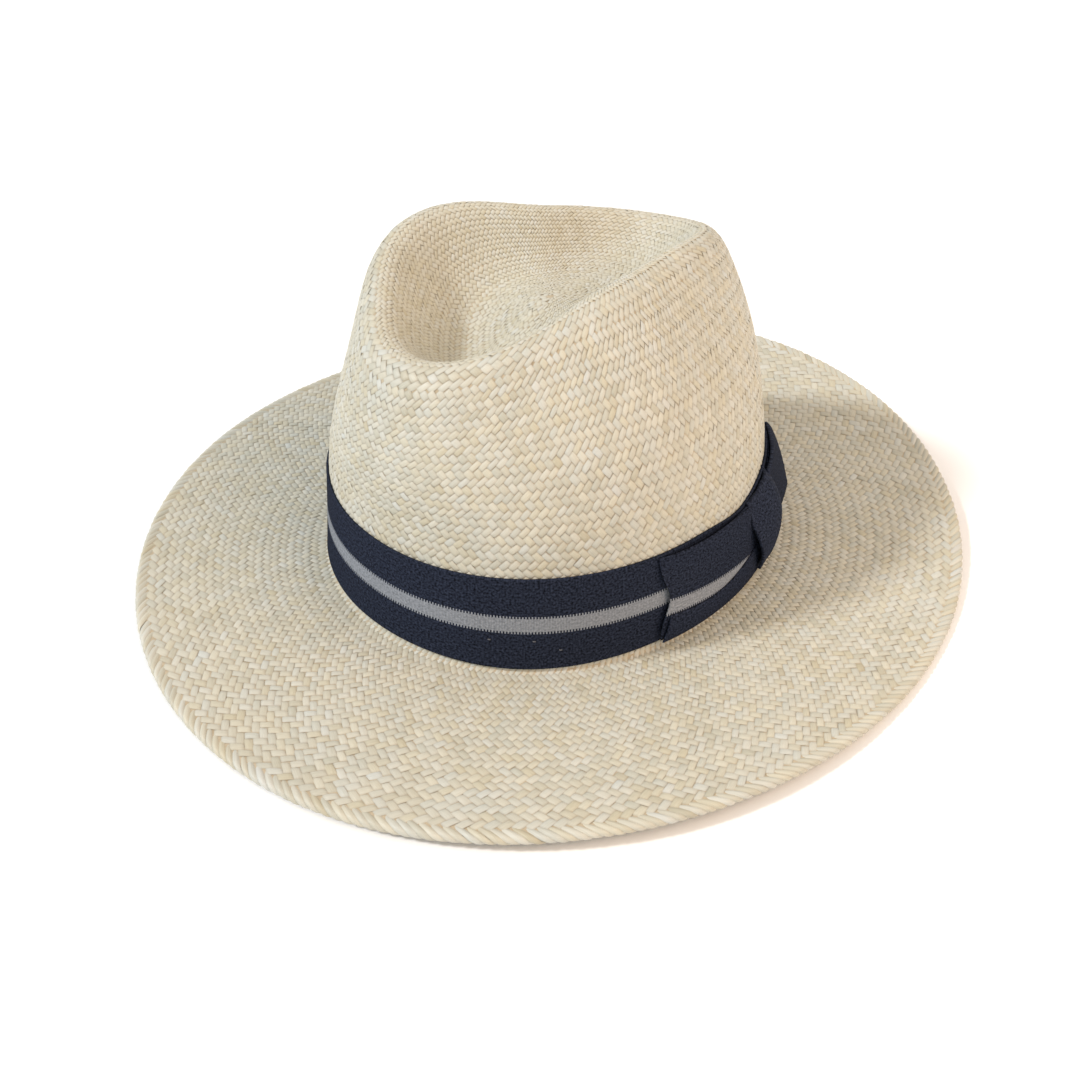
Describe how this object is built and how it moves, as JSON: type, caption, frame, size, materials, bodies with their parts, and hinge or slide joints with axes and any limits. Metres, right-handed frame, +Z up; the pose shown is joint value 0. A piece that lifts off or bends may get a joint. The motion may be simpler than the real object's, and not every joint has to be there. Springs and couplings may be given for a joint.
{
  "type": "straw fedora hat",
  "caption": "Hand-woven straw fedora with a pinched teardrop crown, a wide dipped brim, a striped ribbon with a flat side bow and a fitted leather sweatband.",
  "frame": {"origin": "centre of the hat's footprint, on the surface that the brim stands on", "axes": "+Z up, -Y towards the front of the hat, +X towards the wearer's left, where the bow is"},
  "size_m": [0.3288, 0.3593, 0.1304],
  "materials": {
    "straw": "undyed pale toquilla straw in a fine herringbone weave, slightly glossy, every strand its own tone",
    "grosgrain": "near-black navy grosgrain ribbon with fine upright ribs and one pale grey stripe along its middle",
    "leather": "smooth tan sweatband leather with a fine grain",
    "cord": "leather-covered piping cord",
    "thread": "twisted sewing thread",
    "label": "plain woven label, no text"
  },
  "bodies": {
    "root": {"straw_body": "straw", "hatband": "grosgrain", "bow_backing": "grosgrain", "bow_front_wing": "grosgrain", "bow_rear_wing": "grosgrain", "bow_knot": "grosgrain", "sweatband": "leather", "sweatband_reed": "cord", "sweatband_stitching": "thread", "sweatband_rear_bow": "grosgrain", "size_label": "label", "ribbon_tack_1": "thread", "ribbon_tack_2": "thread", "ribbon_tack_3": "thread"}
  },
  "joints": []
}
